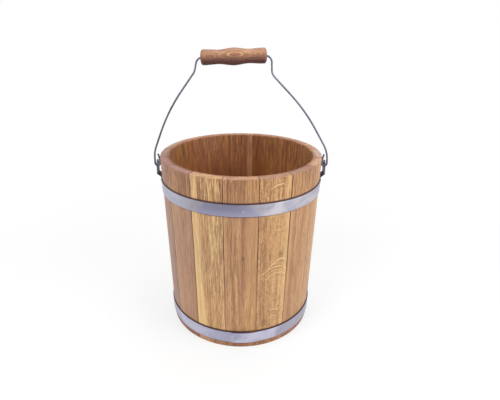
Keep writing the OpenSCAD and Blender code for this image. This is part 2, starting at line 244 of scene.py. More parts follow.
def makeStripTree():
    # A strip bent once round the tub from its free end, which lies on the first layer and runs down a ramp to
    # the staves. Its free corners are cut.
    tree, section, *given, material = newTree(
        "lappedStrip", "Ring Radius", "Thickness", "Start", "Turn", "Ramp From", "Ramp To", "Steps",
        "Middle Height", "Width", "Clip",
    )
    ring, thickness, start, turn, rampFrom, rampTo, steps, middle, width, clip = given
    turned = times(over(made(tree, "GeometryNodeInputIndex"), minus(steps, 1.0)), turn)
    radius = plus(ring, times(fade(turned, rampTo, rampFrom), thickness))
    spot = onCircle(radius, plus(start, turned))
    line = made(tree, "GeometryNodeMeshLine", {"Count": steps})
    line = made(tree, "GeometryNodeSetPosition", {"Geometry": line, "Position": spot})
    line = made(tree, "GeometryNodeStoreNamedAttribute", {
        "Geometry": line, "Name": "fromEnd", "Value": times(turned, ring),
    }, data_type="FLOAT", domain="POINT")
    strip = sweep(tree, made(tree, "GeometryNodeMeshToCurve", {0: line}), section, True)
    fromEnd = made(tree, "GeometryNodeInputNamedAttribute", {"Name": "fromEnd"}, data_type="FLOAT")
    half = minus(over(width, 2.0), calc("MAXIMUM", minus(clip, fromEnd), 0.0))
    x, y, z = split(made(tree, "GeometryNodeInputPosition"))
    z = calc("MAXIMUM", calc("MINIMUM", z, plus(middle, half)), minus(middle, half))
    strip = made(tree, "GeometryNodeSetPosition", {"Geometry": strip, "Position": join(x, y, z)})
    return endTree(tree, strip, material)


def makeWireTree():
    # Wire bent at the corners of a drawn line. Each corner's own radius is its bend radius.
    tree, line, diameter, bendSteps, sides, material = newTree(
        "bentWire", "Wire Diameter", "Bend Steps", "Sides",
    )
    bendRadius = made(tree, "GeometryNodeInputRadius")
    bent = made(tree, "GeometryNodeFilletCurve", {
        "Curve": line, "Count": bendSteps, "Radius": bendRadius, "Limit Radius": True,
    }, mode="POLY")
    even = made(tree, "GeometryNodeSetCurveRadius", {"Curve": bent, "Radius": 1.0})
    section = made(tree, "GeometryNodeCurvePrimitiveCircle", {
        "Resolution": sides, "Radius": over(diameter, 2.0),
    }, mode="RADIUS")
    return endTree(tree, alongCurve(tree, even, section, True), material)


def makePinTree():
    # One pin, set on points round the tub in pairs that lie a given turn apart
    tree, pin, count, face, height, lean, offset, first, pitch, pairTurn, material = newTree(
        "pinsRoundTub", "Count", "Face Radius", "Height", "Lean", "Offset", "First", "Pitch", "Pair Turn",
    )
    index = made(tree, "GeometryNodeInputIndex")
    pair = calc("FLOOR", over(index, 2.0))
    angle = plus(first, times(calc("MODULO", index, 2.0), pitch), times(pair, pairTurn))
    radius = plus(face, times(offset, calc("COSINE", lean)))
    spot = onCircle(radius, angle, minus(height, times(offset, calc("SINE", lean))))
    points = made(tree, "GeometryNodePoints", {"Count": count, "Position": spot})
    rotation = made(tree, "FunctionNodeEulerToRotation", {0: join(0.0, plus(lean, math.pi / 2), angle)})
    pins = made(tree, "GeometryNodeInstanceOnPoints", {
        "Points": points, "Instance": pin, "Rotation": rotation,
    })
    return endTree(tree, pins, material)


turnTree, stripTree, wireTree, pinTree = makeTurnTree(), makeStripTree(), makeWireTree(), makePinTree()


def addObject(name, data):
    thing = bpy.data.objects.new(name, data)
    bpy.context.scene.collection.objects.link(thing)
    return thing


def drawLine(name, points, closed=False, radii=None):
    curve = bpy.data.curves.new(name, "CURVE")
    curve.dimensions = "3D"
    spline = curve.splines.new("POLY")
    spline.points.add(len(points) - 1)
    for number, (point, place) in enumerate(zip(spline.points, points)):
        point.co = (*place, 1)
        point.radius = radii[number] if radii else 1
    spline.use_cyclic_u = closed
    return addObject(name, curve)


def drawSection(name, points, pathRadius):
    # Points are (radius, height) pairs. A swept section has its X outwards and its Y downwards.
    return drawLine(name, [(radius - pathRadius, -height, 0) for radius, height in points], closed=True)


def grow(name, source, tree, material, **values):
    modifier = source.modifiers.new(tree.name, "NODES")
    modifier.node_group = tree
    values["Material"] = material
    for socket in tree.interface.items_tree:
        label = socket.name.replace(" ", "")
        if socket.in_out == "INPUT" and label in values:
            modifier[socket.identifier] = values[label]
    source.data.update_tag()
    mesh = bpy.data.meshes.new_from_object(source.evaluated_get(bpy.context.evaluated_depsgraph_get()))
    source.modifiers.remove(modifier)
    bpy.data.objects.remove(source)
    mesh.name = name
    turnOutwards(mesh)
    return addObject(name, mesh)


def turnOutwards(mesh):
    shape = bmesh.new()
    shape.from_mesh(mesh)
    bmesh.ops.recalc_face_normals(shape, faces=shape.faces)
    shape.to_mesh(mesh)
    shape.free()


def smooth(piece, kind):
    piece.data.shade_smooth()
    piece.data.set_sharp_from_angle(angle=math.radians(sharpAngles[kind]))


def softenEdges(piece, width):
    smooth(piece, "board")
    bevel = piece.modifiers.new("softEdges", "BEVEL")
    bevel.width = width
    bevel.segments = 2
    bevel.limit_method = "ANGLE"
    bevel.angle_limit = math.radians(sharpAngles["board"])
    bevel.harden_normals = True


def mount(piece, body, slot, *nodes):
    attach(piece, body)
    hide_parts(*nodes)


# Camera
cameraSet = {
    "place": (0, -682.23 * mm, 501.97 * mm),
    "pitchDown": 0.3073,
    "yaw": 0.0024,
    "roll": 0.0044,
    "lens": 29.674,
    "sensor": 36,
    "shift": (0.016, -0.08),
}


def makeCamera(settings):
    pitch, yaw, roll = settings["pitchDown"], settings["yaw"], settings["roll"]
    ahead = Vector((math.sin(yaw) * math.cos(pitch), math.cos(yaw) * math.cos(pitch), -math.sin(pitch)))
    level = Vector((math.cos(yaw), -math.sin(yaw), 0))
    above = level.cross(ahead)
    right = math.cos(roll) * level + math.sin(roll) * above
    up = math.cos(roll) * above - math.sin(roll) * level
    data = bpy.data.cameras.new("camera")
    data.lens = settings["lens"]
    data.sensor_width = settings["sensor"]
    data.shift_x, data.shift_y = settings["shift"]
    data.clip_start = 0.01
    camera = addObject("camera", data)
    turned = Matrix((right, up, -ahead)).transposed().to_4x4()
    camera.matrix_world = Matrix.Translation(settings["place"]) @ turned
    bpy.context.scene.camera = camera


makeCamera(cameraSet)
print("camera set")

# Studio: a pale floor, a white surround and three soft lamps
studio = {
    "floorRadius": 6.0,
    "floorTone": 0.86,
    "floorLit": 0.30,  # how much of the lamps' light the floor shows near the bucket
    "floorFade": (0.25, 0.8),
    "ambient": 0.36,
    "bounce": 0.82,
    "mirroredDark": 0.30,  # what steel mirrors of the room in front, a little to the left
    "darkSide": math.radians(-29),
    "darkEdge": (0.60, 0.80),
    "darkFade": (0.25, 0.6),
    "lamps": [
        # name, place, size, power
        ("keyLamp", (-1.15, -1.05, 1.45), 1.3, 23.5),
        ("fillLamp", (1.35, -0.75, 0.95), 1.3, 19),
        ("topLamp", (0.15, 0.35, 1.75), 1.2, 13),
    ],
}


def mirroredLevel(direction, settings):
    # Bright all round but for a soft dark patch in front
    side = settings["darkSide"]
    flat = vectorCalc("NORMALIZE", vectorCalc("MULTIPLY", direction, (1, 1, 0)))
    facing = vectorCalc("DOT_PRODUCT", flat, (math.sin(side), -math.cos(side), 0))
    return fade(facing, *settings["darkEdge"], 1.0, settings["mirroredDark"])


def emptyTree(holder):
    # The tree of a material or world, its kinds of ray, and those that see what is mirrored
    holder.use_nodes = True
    tree = holder.node_tree
    tree.nodes.clear()
    ray = addNode(tree, "ShaderNodeLightPath").outputs
    mirrored = calc("MAXIMUM", ray["Is Glossy Ray"], ray["Is Transmission Ray"])
    return tree, ray, mirrored


def makeFloor(settings):
    bpy.ops.mesh.primitive_circle_add(vertices=96, radius=settings["floorRadius"], fill_type="NGON")
    floor = bpy.context.object
    floor.name = "floor"
    material = bpy.data.materials.new("paleFloor")
    tree, ray, mirrored = emptyTree(material)
    place = addNode(tree, "ShaderNodeTexCoord").outputs["Object"]
    far = vectorCalc("LENGTH", place)
    lit, bounce = (
        made(tree, "ShaderNodeBsdfDiffuse", {"Color": (*[settings[name]] * 3, 1)})
        for name in ("floorTone", "bounce")
    )
    patch = times(minus(1.0, mirroredLevel(place, settings)), fade(far, *settings["darkFade"]))
    level = minus(1.0, times(patch, ray["Is Glossy Ray"]))
    white = made(tree, "ShaderNodeEmission", {"Color": (1, 1, 1, 1), "Strength": level})
    litShare = fade(far, *settings["floorFade"], settings["floorLit"], 0.0)
    shown = made(tree, "ShaderNodeMixShader", {0: litShare, 1: white, 2: lit})
    seen = calc("MAXIMUM", ray["Is Camera Ray"], mirrored)
    both = made(tree, "ShaderNodeMixShader", {0: seen, 1: bounce, 2: shown})
    addNode(tree, "ShaderNodeOutputMaterial", {0: both})
    floor.data.materials.append(material)


def makeSurround(settings):
    world = bpy.data.worlds.new("surround")
    bpy.context.scene.world = world
    tree, ray, mirrored = emptyTree(world)
    direction = addNode(tree, "ShaderNodeTexCoord").outputs["Generated"]
    room = mirroredLevel(direction, settings)
    level = made(tree, "ShaderNodeMix", {0: mirrored, 2: settings["ambient"], 3: room})
    level = made(tree, "ShaderNodeMix", {0: ray["Is Camera Ray"], 2: level, 3: 1.0})
    sky = made(tree, "ShaderNodeBackground", {"Color": (1, 1, 1, 1), "Strength": level})
    addNode(tree, "ShaderNodeOutputWorld", {0: sky})


def makeLamps(settings):
    aim = Vector((0, 0, tub["height"] / 2))
    for name, place, size, power in settings["lamps"]:
        data = bpy.data.lights.new(name, "AREA")
        data.shape = "DISK"
        data.size = size
        data.energy = power
        lamp = addObject(name, data)
        lamp.location = place
        lamp.rotation_euler = (Vector(place) - aim).to_track_quat("Z", "Y").to_euler()


makeFloor(studio)
makeSurround(studio)
makeLamps(studio)
bpy.context.scene.view_settings.view_transform = "Standard"
print("studio lit")

# Wood. Growth rings run round a pith that lies outside the board, so that faces and end grain belong
# together.
woodInputs = {
    "Place": (0, 0, 0),
    "Turn": 0.0,
    "Seed": 0.0,
    "Light": tone(205, 165, 120),
    "Dark": tone(160, 115, 80),
    "Blush": tone(165, 120, 105),
    "Blush Amount": 0.5,
    "Ring Gap": 3.2 * mm,
    "Face": 0.0,
    "Pith Side": 10 * mm,
    "Pith Depth": 60 * mm,
    "Pith Slope": 0.03,
    "Ring Contrast": 0.45,
    "Fleck": 0.8,
    "Grain": 1.0,
}
woodSet = {
    "scales": {  # how finely each pattern is drawn across the board, into it and along the grain
        "wander": (22, 22, 4),
        "ripple": (90, 90, 16),
        "fibre": (680, 680, 3),
        "pores": (820, 820, 18),
        "finePores": (1300, 1300, 110),
        "blush": (26, 26, 5),
    },
    "wanderBy": 9 * mm,
    "rippleBy": 1.4 * mm,
    "poreTone": (92, 56, 36),
}


def makeWoodGroup(settings):
    tree = bpy.data.node_groups.new("ringedWood", "ShaderNodeTree")
    for name, value in woodInputs.items():
        kind = "Float" if isinstance(value, float) else "Color" if len(value) == 4 else "Vector"
        tree.interface.new_socket(name, in_out="INPUT", socket_type=f"NodeSocket{kind}").default_value = value
    for name, kind in (("Color", "Color"), ("Rough", "Float"), ("Relief", "Float")):
        tree.interface.new_socket(name, in_out="OUTPUT", socket_type=f"NodeSocket{kind}")
    given = addNode(tree, "NodeGroupInput").outputs
    # Board frame: X across the board, Y from the outer face inwards, Z along the grain
    turned = made(tree, "ShaderNodeVectorRotate", {
        "Vector": given["Place"], "Axis": (0, 0, 1), "Angle": times(given["Turn"], -1.0),
    }, rotation_type="AXIS_ANGLE")
    across, depth, along = split(turned)
    own = vectorCalc("ADD", turned, join(*[given["Seed"]] * 3))
    drawn = {name: stretch(own, scale) for name, scale in settings["scales"].items()}
    # Rings, bent by slow noise
    bend = times(sway(drawn["wander"]), settings["wanderBy"])
    ringX = plus(minus(across, given["Pith Side"]), bend)
    ringY = plus(depth, given["Face"], plus(times(along, given["Pith Slope"]), given["Pith Depth"]))
    ripple = times(sway(drawn["ripple"], 3.0), settings["rippleBy"])
    rings = over(plus(vectorCalc("LENGTH", join(ringX, ringY, 0.0)), ripple), given["Ring Gap"])
    late = calc("FRACT", rings)
    lateLine = times(fade(late, 0.45, 0.95), fade(late, 1.0, 0.95))
    # Broad bands that follow the rings, each with its own tone
    bandPlace = {"W": plus(times(rings, 0.6), given["Seed"]), "Scale": 1.0, "Detail": 3.0}
    band = made(tree, "ShaderNodeTexNoise", bandPlace, noise_dimensions="1D")
    fibre = noise(drawn["fibre"], 1.0, 3.0, 0.7)
    pores = fade(noise(drawn["pores"], 1.0, 1.0), 0.53, 0.64)
    finePores = fade(noise(drawn["finePores"], 1.0, 1.0), 0.52, 0.62)
    blush = fade(noise(drawn["blush"]), 0.42, 0.68)
    share = plus(
        times(lateLine, given["Ring Contrast"]), fade(band, 0.32, 0.70, 0.0, 0.6),
        times(fade(fibre, 0.38, 0.62, -0.46, 0.50), given["Grain"]),
    )
    colour = mixColour(share, given["Light"], given["Dark"])
    colour = mixColour(times(blush, given["Blush Amount"]), colour, given["Blush"])
    bothPores = plus(times(pores, 0.42), times(finePores, 0.30))
    colour = paint(colour, times(bothPores, given["Fleck"]), settings["poreTone"])
    relief = minus(times(fibre, 0.5), plus(pores, times(lateLine, 0.3)))
    rough = plus(0.46, times(fibre, 0.16))
    addNode(tree, "NodeGroupOutput", {"Color": colour, "Rough": rough, "Relief": relief})
    return tree


woodGroup = makeWoodGroup(woodSet)


def useWood(place, look, **values):
    node = addNode(place.id_data, "ShaderNodeGroup", node_tree=woodGroup)
    tones = {name: tone(*shade) for name, shade in zip(("Light", "Dark", "Blush"), look["tones"])}
    for name, value in {"Place": place, **tones, **values}.items():
        plug(value, node.inputs[name])
    return node.outputs


# Staves. Their section is drawn once and turned round the tub. The first stave is at the front, and the
# others follow towards +X.
staveSet = {
    "arcPoints": 13,
    "ease": 1.8 * mm,
    "jointGap": 0.12 * mm,
    "jointEase": 0.45 * mm,
    "bottomMiddle": 27 * mm,
    "grooveDepth": 5 * mm,
    "grooveHalf": 3.15 * mm,
    "grooveFlare": 1.25 * mm,
    "recess": [  # mm
        0.0, 0.10, 0.05, 0.12, 0.0, 0.08, 0.14, 0.03, 0.10, 0.0, 0.07, 0.12, 0.04, 0.09, 0.02, 0.11,
    ],
    "relief": 0.12 * mm,
}
# Tones of each stave, and what only that stave shows. Places are across the stave and up it, in millimetres.
# tones: light, dark, blush, rim
# strips: edge, side, tone, amount, softness, lean
# streaks: middle, width, tone, amount, from height, to height
# knots: across, up, size, amount
# figure: amount of curly mottling
# crests: across, up, droop to the left and right, reach to the left and right, thickness, amount
# above: painted shade, how much darker the stave is above the upper hoop
# foot: painted light, how much lighter the stave grows towards its foot
staveLooks = {
    1: {
        "tones": ((199, 157, 110), (156, 113, 76), (156, 110, 86), (186, 142, 110)), "above": 0.3,
        "grain": 0.8, "fleck": 0.7, "foot": 0.16, "strips": [(8, 1, (190, 144, 94), 0.5, 2, 0)],
        "streaks": [(2.8, 2.6, (122, 74, 58), 0.7, 95, 310), (4, 10, (146, 98, 74), 0.65, 110, 250),
        (-20, 1.2, (130, 88, 58), 0.5)], "knots": [(3.5, 170, 3.4, 1.0)],
    },
    2: {
        "tones": ((195, 150, 102), (150, 105, 69), (172, 122, 84), (146, 104, 92)), "above": 0.2,
        "grain": 0.8, "figure": 0.42, "strips": [(18, 1, (224, 186, 128), 0.75, 1.5, 0)],
        "streaks": [(-17, 6, (150, 104, 78), 0.35, 60, 200), (8, 3, (146, 100, 70), 0.6, 76, 142),
        (1.5, 3, (226, 186, 130), 0.5, 100, 140), (14, 3.5, (228, 188, 132), 0.5, 96, 142)],
        "knots": [(11.6, 170, 5.5, 0.8), (8, 86, 2.6, 0.9), (-12.6, 45, 6, 1.0)],
        "crests": [(15, 162, 0.031, 0.12, 22, 9, 1.7, 0.65), (9, 155, 0.021, 0.06, 24, 12, 0.8, 0.45),
        (8, 149, 0.018, 0.039, 26, 18, 1.2, 0.7), (7, 143, 0.02, 0.03, 25, 16, 0.8, 0.4),
        (6, 137, 0.039, 0.018, 16, 16, 1.4, 0.4), (10, 213, -0.03, -0.06, 9, 10, 1.2, 0.4),
        (12, 222, -0.03, -0.06, 8, 8, 1.0, 0.35), (10, 67, -0.021, -0.026, 15, 14, 1.2, 0.6),
        (6, 55, 0.1, 0.1, 6, 6, 2.0, 0.4), (9, 289, 0.028, 0.2, 17, 12, 1.2, 0.75),
        (11, 282, 0.05, 0.2, 10, 9, 1.0, 0.5)],
    },
    3: {
        "tones": ((197, 152, 106), (155, 111, 76), (166, 121, 88), (134, 98, 92)), "above": 0.4,
        "grain": 0.65, "fleck": 0.6, "streaks": [(-14, 2.2, (136, 88, 68), 0.5),
        (4, 8, (140, 94, 72), 0.55, 130, 250), (13, 7, (140, 94, 72), 0.5, 262, 310),
        (-22, 3, (214, 170, 120), 0.4)], "knots": [(12.4, 187, 2.2, 0.9)],
    },
    4: {
        "tones": ((201, 158, 114), (169, 125, 89), (172, 128, 100), (186, 148, 122)), "grain": 0.6,
    },
    5: {
        "tones": ((194, 154, 112), (158, 116, 84), (158, 114, 90), (198, 174, 158)),
    },
    6: {
        "tones": ((192, 152, 112), (152, 110, 80), (164, 120, 96), (182, 138, 108)),
    },
    7: {
        "tones": ((194, 147, 94), (156, 106, 64), (150, 102, 70), (164, 120, 98)),
        "streaks": [(-8, 4.0, (200, 160, 124), 0.4), (10, 3.0, (196, 152, 118), 0.4)],
    },
    8: {
        "tones": ((188, 142, 74), (148, 98, 38), (156, 106, 60), (176, 132, 104)),
        "strips": [(6, 1, (124, 66, 4), 0.9, 0.6, 0)], "streaks": [(-6, 2.4, (150, 92, 70), 0.6)],
    },
    9: {
        "tones": ((184, 138, 94), (150, 102, 66), (148, 100, 72), (180, 138, 110)),
        "strips": [(-12, -1, (222, 178, 146), 0.85, 0.6, 0)], "knots": [(14, 268, 3.0, 0.9)],
    },
    10: {
        "tones": ((192, 142, 92), (154, 102, 64), (158, 104, 74), (172, 128, 102)),
        "streaks": [(-14, 2.0, (128, 80, 58), 0.6)], "crests": [(6, 276, 0.05, 0.3, 8, 4, 1.2, 0.35)],
    },
    11: {
        "tones": ((197, 142, 92), (161, 106, 66), (163, 102, 74), (178, 132, 108)),
        "streaks": [(4, 4.0, (206, 160, 112), 0.5)],
    },
    12: {
        "tones": ((204, 164, 106), (164, 120, 72), (166, 118, 84), (160, 124, 106)),
    },
    13: {
        "tones": ((188, 151, 122), (154, 117, 97), (148, 106, 90), (134, 104, 94)), "grain": 0.6,
    },
    14: {
        # Stave 14's tones hold its wood's colour and, paler and bluer, a painted sheen of the grazing light
        # at the tub's left edge
        "tones": ((183, 147, 126), (151, 114, 98), (146, 110, 100), (136, 98, 88)), "above": 0.4,
        "grain": 0.55, "fleck": 0.5, "streaks": [(20.4, 1.6, (104, 62, 54), 0.7)],
    },
    15: {
        "tones": ((182, 142, 112), (148, 108, 84), (150, 108, 88), (146, 108, 102)), "above": 0.5,
        "grain": 0.6, "fleck": 0.55, "foot": 0.2, "strips": [(-20, -1, (208, 168, 112), 0.7, 0.6, 0)],
        "streaks": [(-24, 1.8, (100, 60, 52), 0.8), (-13, 4, (204, 160, 130), 0.4)],
    },
    16: {
        "tones": ((218, 180, 130), (168, 127, 86), (186, 142, 100), (188, 146, 108)), "above": 0.15,
        "grain": 0.9, "fleck": 0.9, "foot": 0.34, "strips": [(-13, -1, (232, 194, 138), 0.8, 3, 7)],
        "streaks": [(1, 5, (146, 102, 64), 0.55, 150, 245), (12, 1.4, (138, 94, 58), 0.6, 25, 150),
        (0, 1.2, (150, 106, 70), 0.4, 25, 160)],
    },
}
# What wear and damp have done to every stave, and the light and shade painted on it
staveWearAndLight = {
    "opened": (252 * mm, 262 * mm),  # above the upper hoop the grain is more open
    "openedFleck": 0.5,
    "openedGrain": 0.7,
    "comb": (430, 430, 5),
    "combAmount": (0.12, 0.40),  # everywhere, and more where the grain is open
    "combTones": ((118, 74, 44), (240, 194, 126)),
    # painted light: lighter from the first height down to the second
    "bleached": (170 * mm, 40 * mm),
    "bleachedTone": (255, 240, 214),
    "dampTint": (0.68, 0.53, 0.54),
    # painted shade: darker above the upper hoop
    "aboveHoop": (256 * mm, 264 * mm),
    "aboveTint": (0.82, 0.70, 0.56),
    "rimFray": 9 * mm,
    "rimSmudge": (122, 84, 78),
    "inside": (9 * mm, 13 * mm),  # depth from the outer face
    "insideTint": (0.68, 0.51, 0.36),
    "jointTone": (84, 50, 38),
    # dark line above each hoop, and painted shadow under each
    "stainTone": (80, 46, 40),
}


def addStrips(colour, strips, spot):
    # The lean moves a strip's edge over by so many millimetres down at the foot
    for edge, side, shade, amount, softness, lean in strips:
        leant = minus(spot["bent"], fade(spot["height"], 0.0, 170 * mm, lean * mm, 0.0))
        beyond = times(minus(leant, edge * mm), float(side))
        inStrip = fade(beyond, -softness * mm, softness * mm, 0.0, amount)
        colour = mixColour(inStrip, colour, paint(spot["wood"], 0.6, shade))
    return colour


def addStreaks(colour, streaks, spot):
    patches = noise(stretch(spot["place"], (500, 500, 20)))
    for middle, width, shade, amount, *span in streaks:
        off = calc("ABSOLUTE", minus(spot["bent"], middle * mm))
        strength = times(fade(off, width * mm, 0.2 * mm), fade(patches, 0.3, 0.6, 0.45 * amount, amount))
        if span:
            low, high = span
            strength = times(strength, fade(spot["height"], (low - 8) * mm, (low + 8) * mm))
            strength = times(strength, fade(spot["height"], (high + 8) * mm, (high - 8) * mm))
        colour = paint(colour, strength, shade)
    return colour


def addKnots(colour, knots, spot):
    for sideways, up, size, amount in knots:
        nearX = over(minus(spot["bent"], sideways * mm), size * mm)
        nearZ = over(minus(spot["height"], up * mm), 1.5 * size * mm)
        near = away(nearX, nearZ)
        eyes = times(plus(calc("SINE", times(near, 11.0)), 3.0), 0.22)
        colour = paint(colour, times(fade(near, 1.2, 0.1, 0.0, amount), eyes), (104, 62, 44))
    return colour


def addFigure(colour, amount, spot):
    curl = noise(stretch(spot["place"], (330, 330, 170), (spot["number"], 0, 0)), 1.0, 2.0, 0.6, 1.2)
    curly = times(fade(curl, 0.44, 0.58), fade(spot["wobble"], -0.1, 0.12, 0.4, 1.0), amount)
    colour = paint(colour, curly, (224, 184, 128))
    return paint(colour, fade(curl, 0.44, 0.34, 0.0, 0.6 * amount), (138, 94, 62))


def addCrests(colour, crests, spot):
    # A pale line that bends over a point as the grain round a knot does, with a dark one under it
    waves = times(sway(stretch(spot["place"], (120, 120, 50))), 7.0)
    for sideways, up, leftDroop, rightDroop, left, right, thick, amount in crests:
        fromX = over(minus(spot["bent"], sideways * mm), mm)
        droop = fade(fromX, -0.5, 0.5, leftDroop, rightDroop)
        line = plus(minus(up, times(fromX, fromX, droop)), waves)
        off = minus(over(spot["height"], mm), line)
        reach = times(fade(fromX, -left - 3.0, -left + 3.0), fade(fromX, right + 2.0, right - 2.0))
        under = fade(calc("ABSOLUTE", plus(off, 2.2 * thick)), 2.4 * thick, 0.4 * thick, 0.0, 0.5 * amount)
        colour = paint(colour, times(under, reach), (140, 96, 64))
        pale = fade(calc("ABSOLUTE", off), thick, 0.3 * thick, 0.0, amount)
        colour = paint(colour, times(pale, reach), (234, 198, 140))
    return colour


markMakers = {
    "strips": addStrips, "streaks": addStreaks, "knots": addKnots, "figure": addFigure, "crests": addCrests,
}


def addWearAndPaintedLight(colour, look, spot, wear):
    height, place, number = spot["height"], spot["place"], spot["number"]
    # Lines combed open by wear, strongest above the upper hoop
    comb = noise(stretch(place, wear["comb"], (number, 0, 0)), 1.0, 1.0)
    everywhere, more = wear["combAmount"]
    amount = times(plus(everywhere, times(spot["opened"], more)), look.get("fleck", 0.8))
    hollow, ridge = wear["combTones"]
    colour = paint(colour, times(fade(comb, 0.53, 0.61), amount), hollow)
    colour = paint(colour, times(fade(comb, 0.50, 0.42, 0.0, 0.35), amount), ridge)
    # Painted light, lighter towards the foot; damp below the lower hoop; painted shade, darker above the
    # upper one
    if "foot" in look:
        bleached = fade(height, *wear["bleached"], 0.0, look["foot"])
        colour = paint(colour, bleached, wear["bleachedTone"], "SOFT_LIGHT")
    damp = fade(height, tub["lowerHoopAt"] + 2 * mm, tub["lowerHoopAt"] - 1 * mm, 0.0, 0.9)
    colour = tint(colour, damp, wear["dampTint"])
    # Painted shade above the upper hoop
    colour = tint(colour, fade(height, *wear["aboveHoop"], 0.0, look.get("above", 0.0)), wear["aboveTint"])
    # The rim's end grain, frayed where it meets the outer face
    frayed = times(sway(stretch(place, (260, 260, 50), (0, 0, number))), wear["rimFray"])
    top = fade(plus(height, frayed), tub["height"] - 2.2 * mm, tub["height"] - 0.6 * mm, 0.0, 0.65)
    smudge = fade(noise(stretch(place, (90, 90, 90), (0, 0, number)), 1.0, 3.0, 0.6), 0.44, 0.60, 0.0, 0.7)
    return mixColour(top, colour, paint(tone(*look["tones"][3]), smudge, wear["rimSmudge"]))


def addShade(colour, spot, wear):
    # The painted shade inside, the dark joints, a dark line above each hoop and the painted shadow under it
    height, depth = spot["height"], spot["depth"]
    colour = tint(colour, fade(depth, *wear["inside"]), wear["insideTint"])
    edgeLeft = minus(times(spot["outward"], math.tan(tub["turn"] / 2)), calc("ABSOLUTE", spot["across"]))
    amount = fade(depth, *wear["inside"], fade(height, 100 * mm, 150 * mm, 0.35, 0.8), 0.4)
    amount = times(amount, fade(height, tub["height"] - 3 * mm, tub["height"] - 1 * mm, 1.0, 0.4))
    colour = paint(colour, fade(edgeLeft, 1.1 * mm, 0.2 * mm, 0.0, amount), wear["jointTone"])
    for hoopAt in (tub["upperHoopAt"], tub["lowerHoopAt"]):
        above = minus(height, hoopAt + tub["hoopWidth"])
        below = minus(hoopAt, height)
        upper = times(fade(above, -0.6 * mm, 0.0), fade(above, 3.2 * mm, 1.0 * mm, 0.0, 0.92))
        # Painted shadow under the hoop
        lower = times(fade(below, -0.6 * mm, 0.0), fade(below, 1.8 * mm, 0.5 * mm, 0.0, 0.65))
        hoopLineAndShadow = times(calc("MAXIMUM", upper, lower), fade(depth, 6 * mm, 3 * mm))
        colour = paint(colour, hoopLineAndShadow, wear["stainTone"])
    return colour


def makeStaveMaterial(number, wear):
    look = staveLooks[number]
    material, shader, place = newMaterial(f"staveWood{number:02d}")
    azimuth = (number - 1) * tub["turn"]
    x, y, height = split(place)
    opened = fade(height, *wear["opened"])
    wood = useWood(
        place, look, Turn=azimuth, Seed=1.7 * number, Face=tub["footRadius"],
        Fleck=plus(look.get("fleck", 0.8), times(opened, wear["openedFleck"])),
        Grain=plus(look.get("grain", 1.0), times(opened, wear["openedGrain"])),
    )
    across = plus(times(x, math.cos(azimuth)), times(y, math.sin(azimuth)))
    outward = minus(times(x, math.sin(azimuth)), times(y, math.cos(azimuth)))
    face = plus(times(height, tub["slope"]), tub["footRadius"])
    wobble = sway(stretch(place, (30, 30, 9), (number, 0, 0)))
    spot = {
        "number": number, "place": place, "wood": wood["Color"], "opened": opened, "wobble": wobble,
        "across": across, "bent": plus(across, times(wobble, 7 * mm)),
        "height": height, "outward": outward, "depth": minus(face, outward),
    }
    colour = wood["Color"]
    for mark, addMark in markMakers.items():
        if mark in look:
            colour = addMark(colour, look[mark], spot)
    colour = addShade(addWearAndPaintedLight(colour, look, spot, wear), spot, wear)
    finish(shader, colour, wood["Rough"], wood["Relief"], staveSet["relief"])
    return material


def easedOutline(corners, size, steps=3):
    # Each corner of the outline becomes a small curve
    points = []
    corners = [Vector(corner) for corner in corners]
    for number, corner in enumerate(corners):
        before, after = corners[number - 1], corners[(number + 1) % len(corners)]
        start = corner + (before - corner).normalized() * size
        end = corner + (after - corner).normalized() * size
        for step in range(steps + 1):
            share = step / steps
            points.append(tuple((1 - share) ** 2 * start + 2 * share * (1 - share) * corner + share**2 * end))
    return points


def staveSection(settings, recess):
    inner, outer = outerRadius(0) - tub["wall"], outerRadius(0) - recess
    innerTop, outerTop = outerRadius(tub["height"]) - tub["wall"], outerRadius(tub["height"]) - recess
    corners = [(inner, 0), (outer, 0), (outerTop, tub["height"]), (innerTop, tub["height"])]
    points = easedOutline(corners, settings["ease"])
    for side in (1, -1):
        mouth = (settings["grooveHalf"] + settings["grooveFlare"]) * side + settings["bottomMiddle"]
        floor = settings["grooveHalf"] * side + settings["bottomMiddle"]
        floorRadius = outerRadius(floor) - tub["wall"] + settings["grooveDepth"]
        pair = [(outerRadius(mouth) - tub["wall"], mouth), (floorRadius, floor)]
        points += pair if side == 1 else pair[::-1]
    return points


def makeStaves(settings, wear):
    for number in range(1, tub["staveCount"] + 1):
        points = staveSection(settings, settings["recess"][number - 1] * mm)
        section = drawSection("staveSection", points, tub["footRadius"])
        gap = settings["jointGap"] / tub["footRadius"]
        stave = grow(
            f"stave{number:02d}", section, turnTree, makeStaveMaterial(number, wear),
            PathRadius=tub["footRadius"], Start=(number - 1.5) * tub["turn"] - math.pi / 2 + gap / 2,
            Sweep=tub["turn"] - gap, Steps=settings["arcPoints"], ClosedEnds=True,
        )
        softenEdges(stave, settings["jointEase"])
        mount(stave, "bucket", "stave_wood", f"stave_{number:02d}")


makeStaves(staveSet, staveWearAndLight)
print("staves made:", tub["staveCount"])

# Bottom: three boards with soft edges and the dowels between them
bottomSet = {
    "softEdge": 0.5 * mm,
    "tones": ((182, 140, 104), (146, 104, 74), (150, 104, 84)),
    "relief": 0.12 * mm,
    "seeds": {"left": 3.1, "middle": 5.4, "right": 7.7, "dowels": 11.0},
}


def makeBoardMaterial(name, settings, seed):
    material, shader, place = newMaterial(name)
    # The boards' grain runs from front to back
    laid = made(place.id_data, "ShaderNodeMapping", {"Vector": place, "Rotation": (math.pi / 2, 0, 0)})
    wood = useWood(laid, settings, Seed=seed)
    finish(shader, wood["Color"], wood["Rough"], wood["Relief"], settings["relief"])
    return material


